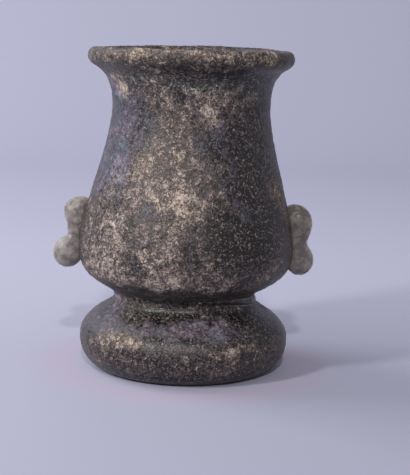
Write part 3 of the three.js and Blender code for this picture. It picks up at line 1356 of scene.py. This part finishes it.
@dataclass
class Handle:
    """A trail pressed on the wall in lobes. Millimetres."""

    side: Side
    lobes: tuple[Lobe, ...]
    blend: float = 2.4
    flatness: float = 0.7
    sunk: float = 1.0
    side_passes: int = 8
    depth_passes: int = 70
    levels: int = 90
    sides: int = 96
    weathering: Weathering = field(
        default_factory=lambda: Weathering(
            crust_base=0.42, film_base=0.5, bare_base=0.22, crust_relief=0.12, wobble=0.25
        )
    )

    def blended(self, values: list[float]) -> float:
        """The largest of some values, rounded over where the two largest are close.

        Args:
            values: The values of the lobes at one level.

        Returns:
            Their rounded largest value.
        """
        best = values[0]
        for value in values[1:]:
            near = max(self.blend - abs(best - value), 0) / self.blend
            best = max(best, value) + near * near * self.blend / 4
        return best

    def softened(self, values: list[float], passes: int) -> list[float]:
        """A row of values with its creases softened.

        Args:
            values: The row, from low to high.
            passes: How often each value is averaged with its neighbours.

        Returns:
            The softened row, with both ends kept.
        """
        for _ in range(passes):
            inner = [
                (before + 2 * value + after) / 4
                for before, value, after in zip(values, values[1:], values[2:])
            ]
            values = [values[0], *inner, values[-1]]
        return values

    def section(self, level: float, centres: list[float], body: Body) -> tuple[float, float, float]:
        """The handle's cut at a level, before its creases are softened.

        Args:
            level: The level of the cut.
            centres: How far each lobe's centre lies from the axis.
            body: The body that carries the handle.

        Returns:
            The far radius, the near radius and the half depth.
        """
        outer, inner, half = [], [], []
        for lobe, centre in zip(self.lobes, centres):
            width = 1 - ((level - lobe.level) / lobe.rise) ** 2
            if width > 0:
                outer.append(centre + lobe.reach * math.sqrt(width))
                inner.append(lobe.reach * math.sqrt(width) - centre)
                half.append(lobe.half * math.sqrt(width))
        near = max(-self.blended(inner), body.radius_at(level) - self.sunk)
        return self.blended(outer), near, self.blended(half)

    def ring(self, level: float, far: float, near: float, deep: float) -> list[Vector]:
        """One level ring round the handle.

        Args:
            level: Its level.
            far: Its far radius.
            near: Its near radius.
            deep: Its half depth.

        Returns:
            The ring's points, in millimetres.
        """
        points = []
        for side in range(self.sides):
            angle = 2 * math.pi * side / self.sides
            x = (far + near) / 2 + (far - near) / 2 * math.cos(angle)
            y = deep * math.copysign(abs(math.sin(angle)) ** self.flatness, math.sin(angle))
            points.append(Vector((self.side.value * x, self.side.value * y, level)))
        return points

    def build(self, body: Body, material: bpy.types.Material) -> bpy.types.Object:
        """Builds the handle on the body's wall.

        Args:
            body: The body that carries it.
            material: Its material.

        Returns:
            The handle's object.
        """
        centres = [body.radius_at(lobe.level) + lobe.stand_off for lobe in self.lobes]
        top = max(lobe.level + lobe.rise for lobe in self.lobes)
        bottom = min(lobe.level - lobe.rise for lobe in self.lobes)
        levels = [
            (top + bottom) / 2 - (top - bottom) / 2 * math.cos(math.pi * i / self.levels)
            for i in range(1, self.levels)
        ]
        sections = [self.section(level, centres, body) for level in levels]
        fars, nears, deeps = (list(row) for row in zip(*sections))
        fars = self.softened(fars, self.side_passes)
        nears = self.softened(nears, self.side_passes)
        deeps = self.softened(deeps, self.depth_passes)
        mesh = skin_rings([self.ring(*row) for row in zip(levels, fars, nears, deeps)])
        weather(mesh, self.weathering)
        label = self.side.name.lower()
        return finish_piece(mesh, f"handle_{label}_glass", (f"handle_{label}",), material)


@dataclass
class PontilWad:
    """The low, cratered disc that the pontil rod left under the foot. Millimetres."""

    top: float = 16.9
    radius: float = 6.2
    height: float = 1.9
    crater_radius: float = 3.6
    crater_depth: float = 0.9
    crater_steps: int = 12
    rim_steps: int = 14
    segments: int = 96
    weathering: Weathering = field(
        default_factory=lambda: Weathering(crust_base=0.5, crust_relief=0.25, wobble=0.35)
    )

    def build(self, material: bpy.types.Material) -> bpy.types.Object:
        """Builds the wad under the foot's vault.

        Args:
            material: Its material.

        Returns:
            The wad's object.
        """
        low = self.top - self.height
        rim = Station(self.radius - self.height / 2, self.top - self.height / 2)
        outline = (
            bowl(
                Station(0, low + self.crater_depth), Station(self.crater_radius, low),
                self.crater_radius / 2, self.crater_depth / 2, self.crater_steps,
            )
            + arc(rim, self.height / 2, self.height / 2, -90, 90, self.rim_steps)
            + [Station(self.radius / 2, self.top), Station(0, self.top)]
        )
        mesh = spin_outline(outline, self.segments)
        weather(mesh, self.weathering)
        return finish_piece(mesh, "pontil_wad_glass", ("pontil_wad",), material)


@dataclass(frozen=True)
class Lamp:
    """A soft square lamp: its place and width in metres, its power in watts and its colour."""

    name: str
    place: tuple[float, float, float]
    size: float
    power: float
    colour: Colour

    def build(self, aim: Vector) -> None:
        """Hangs the lamp so that it faces a point.

        Args:
            aim: The point, in metres.
        """
        data = bpy.data.lights.new(self.name, "AREA")
        data.shape = "SQUARE"
        data.size = self.size
        data.energy = self.power
        data.color = self.colour
        lamp = bpy.data.objects.new(self.name, data)
        lamp.location = self.place
        lamp.rotation_euler = (aim - Vector(self.place)).to_track_quat("-Z", "Y").to_euler()
        bpy.context.collection.objects.link(lamp)


LAMPS = (
    Lamp("left_lamp", (-0.30, -0.27, 0.26), 0.05, 1.15, (1.0, 0.99, 1.0)),
    Lamp("front_lamp", (0.03, -1.0, 0.72), 0.06, 5.2, (1.0, 0.99, 0.98)),
    Lamp("window", (-0.85, 0.30, 0.75), 0.7, 7.0, (0.98, 0.99, 1.0)),
)


@dataclass
class Studio:
    """Pale sweep, soft lamps and the camera at the photograph's angle. Metres and degrees."""

    half_width: float = 1.6
    front: float = -1.2
    back: float = 0.55
    bend: float = 0.35
    bend_steps: int = 24
    height: float = 1.5
    aim: tuple[float, float, float] = (0, 0, 0.05)
    sky: tuple[float, float, float, float] = (0.95, 0.95, 1.0, 1.0)
    sky_strength: float = 0.40
    camera_place: tuple[float, float, float] = (6.05 * MM, -400.0 * MM, 108.8 * MM)
    camera_pitch: float = 9.63
    camera_roll: float = 1.65
    lens: float = 97.2
    clip_start: float = 0.01

    def build_sweep(self) -> None:
        """Builds the floor that curves up into the backdrop."""
        outline = [(self.front, 0.0), (self.back, 0.0)]
        for step in range(1, self.bend_steps + 1):
            angle = math.radians(90 * step / self.bend_steps)
            outline.append((self.back + self.bend * math.sin(angle), self.bend * (1 - math.cos(angle))))
        outline.append((self.back + self.bend, self.height))
        mesh = bmesh.new()
        verts = [mesh.verts.new((-self.half_width, y, z)) for y, z in outline]
        edges = [mesh.edges.new(pair) for pair in zip(verts, verts[1:])]
        grown = bmesh.ops.extrude_edge_only(mesh, edges=edges)["geom"]
        moved = [item for item in grown if isinstance(item, bmesh.types.BMVert)]
        bmesh.ops.translate(mesh, verts=moved, vec=(2 * self.half_width, 0, 0))
        bmesh.ops.recalc_face_normals(mesh, faces=mesh.faces[:])
        sweep = show(mesh, "sweep", SweepPaper("sweep_paper").material())

    def build_sky(self) -> None:
        """Fills the room with even, soft light."""
        world = bpy.data.worlds.new("soft_room")
        world.use_nodes = True
        background = world.node_tree.nodes["Background"]
        background.inputs["Color"].default_value = self.sky
        background.inputs["Strength"].default_value = self.sky_strength
        bpy.context.scene.world = world

    def build_camera(self) -> None:
        """Sets up the camera at the photograph's angle."""
        data = bpy.data.cameras.new("camera")
        data.lens = self.lens
        data.clip_start = self.clip_start
        camera = bpy.data.objects.new("camera", data)
        turn = Matrix.Rotation(math.radians(90 - self.camera_pitch), 4, "X")
        roll = Matrix.Rotation(math.radians(self.camera_roll), 4, "Z")
        camera.matrix_world = Matrix.Translation(self.camera_place) @ turn @ roll
        bpy.context.collection.objects.link(camera)
        bpy.context.scene.camera = camera
        bpy.context.scene.view_settings.view_transform = "Standard"

    def build(self) -> None:
        """Builds the sweep, the lamps, the sky and the camera."""
        self.build_sweep()
        for lamp in LAMPS:
            lamp.build(Vector(self.aim))
        self.build_sky()
        self.build_camera()


def main() -> None:
    """Builds the vase and its studio in order."""
    logging.basicConfig(level=logging.INFO, format="%(name)s %(message)s")
    # Without a seed of its own, noise_vector differs from one run of Blender to the next.
    noise.seed_set(NOISE_SEED)
    body_glass = WeatheredGlass("weathered_body_glass").material()
    # The foot's film colours are paler than the body's: a weathering film, lightened as painted light for
    # light coming through the glass of the foot.
    foot_glass = WeatheredGlass(
        "weathered_foot_glass", film_blue=shade(104, 102, 116), film_violet=shade(118, 104, 114)
    ).material()
    trail_glass = WeatheredGlass("weathered_trail_glass", flake_size=1.0).material()
    frosted = FrostedGlass("frosted_handle_glass").material()
    body = Body()
    foot = Foot()
    body.build(body_glass)
    foot.build(foot_glass)
    WaistTrail().build(body, foot, trail_glass)
    Handle(Side.LEFT, LEFT_LOBES).build(body, frosted)
    Handle(Side.RIGHT, RIGHT_LOBES).build(body, frosted)
    PontilWad().build(foot_glass)
    Studio().build()


if __name__ == "__main__":
    main()
